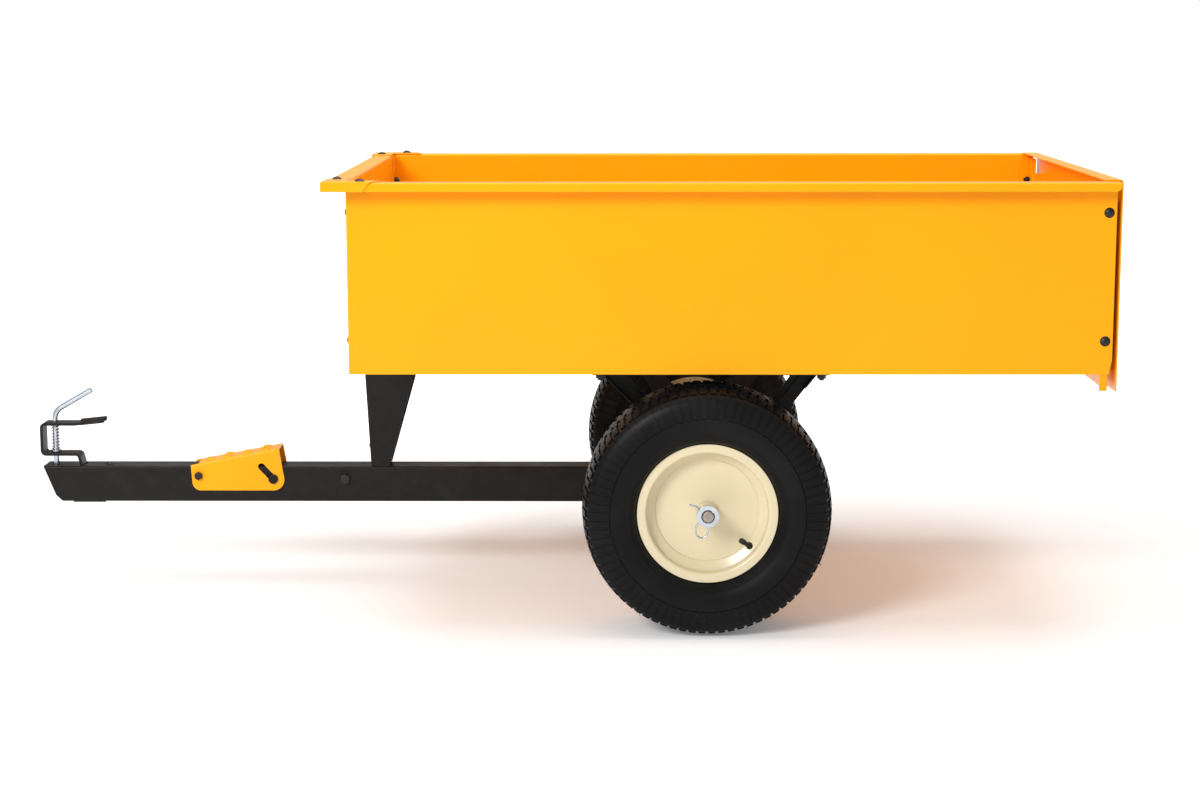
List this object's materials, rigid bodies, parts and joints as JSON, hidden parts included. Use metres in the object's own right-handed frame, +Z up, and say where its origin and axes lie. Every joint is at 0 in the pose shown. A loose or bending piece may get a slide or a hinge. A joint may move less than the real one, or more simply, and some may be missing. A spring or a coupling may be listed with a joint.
{
  "type": "tow behind cart",
  "caption": "Two-wheeled steel dump cart towed behind a garden tractor: tipping bed, lift-out tailgate, spring-pin hitch and foot-pedal latch.",
  "frame": {"origin": "middle of the cart's footprint, on the ground under the tyres", "axes": "+X from the hitch to the tailgate, +Y to the cart's right, +Z up"},
  "size_m": [1.833, 0.888, 0.7411],
  "materials": {
    "yellow_paint": "glossy powder coat",
    "black_paint": "satin black powder coat",
    "black_fastener": "black oxide",
    "zinc": "bright zinc plate",
    "axle_steel": "plain cold-drawn steel",
    "bush_plastic": "moulded",
    "tyre_rubber": "black rubber with a lawn tread",
    "cream_paint": "semi-gloss cream enamel",
    "valve_rubber": "moulded"
  },
  "bodies": {
    "tongue": {"tongue_tube": "black_paint", "pivot_sleeve": "black_paint", "pivot_gussets": "black_paint", "wear_plate": "black_paint", "axle": "axle_steel", "axle_clips": "zinc", "end_washers": "zinc", "axle_spacers": "axle_steel", "hub_spacers": "axle_steel", "hitch_strap": "black_paint", "strap_bolt": "black_fastener", "strap_nut": "black_fastener", "hitch_spring": "zinc", "latch_spring": "zinc", "spring_seat": "black_paint", "pedal_bolt": "black_fastener", "pedal_nut": "black_fastener", "guide_bolt": "black_fastener", "guide_nut": "black_fastener"},
    "pin_carrier": {"pin_washer": "zinc"},
    "pin": {"hitch_pin": "zinc", "pin_clip": "zinc"},
    "pedal": {"foot_pedal": "yellow_paint"},
    "latch": {"cam_pin": "black_paint", "latch_bar": "black_paint"},
    "bed": {"side_panel_left": "yellow_paint", "side_panel_right": "yellow_paint", "front_panel": "yellow_paint", "floor_panel": "yellow_paint", "corner_cap_left": "yellow_paint", "corner_cap_right": "yellow_paint", "corner_post_left": "yellow_paint", "corner_post_right": "yellow_paint", "axle_bracket_left": "black_paint", "axle_bracket_right": "black_paint", "bracket_bushes": "bush_plastic", "latch_stand": "black_paint", "catch_plate": "black_paint", "catch_bolt": "black_fastener", "catch_nut": "black_fastener", "front_panel_bolts": "black_fastener", "front_panel_nuts": "black_fastener", "corner_post_bolts": "black_fastener", "corner_post_nuts": "black_fastener", "corner_cap_bolts": "black_fastener", "corner_cap_nuts": "black_fastener", "floor_bolts": "black_fastener", "floor_nuts": "black_fastener"},
    "gate": {"tailgate": "yellow_paint", "tailgate_hooks": "yellow_paint"},
    "wheel_left": {"tyre_left": "tyre_rubber", "rim_left": "cream_paint", "hub_tube_left": "cream_paint", "hub_bushes_left": "bush_plastic", "valve_stem_left": "valve_rubber"},
    "wheel_right": {"tyre_right": "tyre_rubber", "rim_right": "cream_paint", "hub_tube_right": "cream_paint", "hub_bushes_right": "bush_plastic", "valve_stem_right": "valve_rubber"}
  },
  "joints": [
    {"name": "wheel_left_spin", "type": "hinge", "parent": "tongue", "child": "wheel_left", "pos_m": [0.2595, -0.355, 0.2032], "axis": [0, 1, 0], "continuous": true},
    {"name": "wheel_right_spin", "type": "hinge", "parent": "tongue", "child": "wheel_right", "pos_m": [0.2595, 0.355, 0.2032], "axis": [0, 1, 0], "continuous": true},
    {"name": "bed_tilt", "type": "hinge", "parent": "tongue", "child": "bed", "pos_m": [0.2595, 0, 0.2032], "axis": [0, 1, 0], "range_deg": [0, 32]},
    {"name": "tailgate_lift", "type": "slide", "parent": "bed", "child": "gate", "axis": [0, 0, 1], "range_m": [0, 0.3]},
    {"name": "pin_lift", "type": "slide", "parent": "tongue", "child": "pin_carrier", "axis": [0, 0, 1], "range_m": [0, 0.03], "stiffness_N_per_m": 400, "springref_m": -0.03, "deforming": ["hitch_spring"]},
    {"name": "pin_turn", "type": "hinge", "parent": "pin_carrier", "child": "pin", "pos_m": [-0.8925, 0, 0.25], "axis": [0, 0, 1], "continuous": true},
    {"name": "pedal_press", "type": "hinge", "parent": "tongue", "child": "pedal", "pos_m": [-0.6328, 0, 0.1881], "axis": [0, 1, 0], "range_deg": [0, 10], "stiffness_Nm_per_rad": 8, "springref_deg": -17.19, "deforming": ["latch_spring"]},
    {"name": "latch_slide", "type": "slide", "parent": "tongue", "child": "latch", "axis": [-1, 0, 0], "range_m": [0, 0.0188]}
  ],
  "couplings": [
    {"joint": "latch_slide", "follows": "pedal_press", "m_per_rad": 0.1064}
  ]
}
